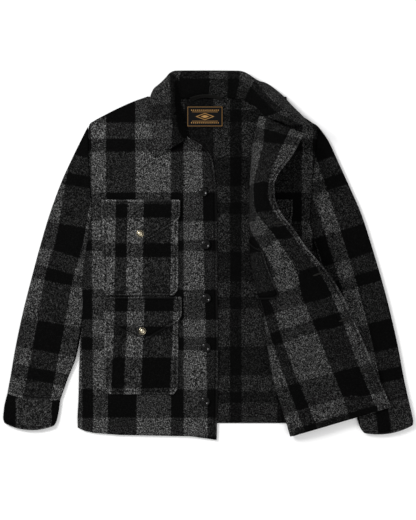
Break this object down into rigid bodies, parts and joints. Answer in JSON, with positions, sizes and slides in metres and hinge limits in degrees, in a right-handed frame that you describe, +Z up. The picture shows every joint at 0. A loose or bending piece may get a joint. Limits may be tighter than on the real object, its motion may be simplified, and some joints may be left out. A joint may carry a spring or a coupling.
{
  "type": "mackinaw jacket",
  "caption": "Wool plaid mackinaw jacket laid flat on its back, one front folded open, with a fold-down collar, patch pockets and buttons.",
  "frame": {"origin": "on the floor at the underside of the back panel, under the chest", "axes": "+Z up off the floor, +X across the jacket towards the wearer's left sleeve, +Y along the back towards the collar"},
  "size_m": [0.9215, 0.8291, 0.1089],
  "materials": {
    "wool": "brushed wool plaid in black and grey, matt",
    "label_weave": "woven satin, dark with a gold ornament",
    "tape": "woven cotton tape",
    "button": "polished dark resin",
    "snap_metal": "pale satin brass"
  },
  "bodies": {
    "root": {"back": "wool", "front_right": "wool", "front_left": "wool", "sleeve_right": "wool", "sleeve_left": "wool", "cuff_right": "wool", "cuff_left": "wool", "collar": "wool", "pocket_chest_right": "wool", "flap_chest_right": "wool", "pocket_hip_right": "wool", "flap_hip_right": "wool", "pocket_chest_left": "wool", "flap_chest_left": "wool", "facing_left": "wool", "pocket_inner_left": "wool", "hem_back": "wool", "hem_left": "wool", "label": "label_weave", "hanger_loop": "tape", "button_1": "button", "button_2": "button", "button_3": "button", "button_4": "button", "button_5": "button", "snap_chest_right": "snap_metal", "snap_hip_right": "snap_metal"}
  },
  "joints": []
}
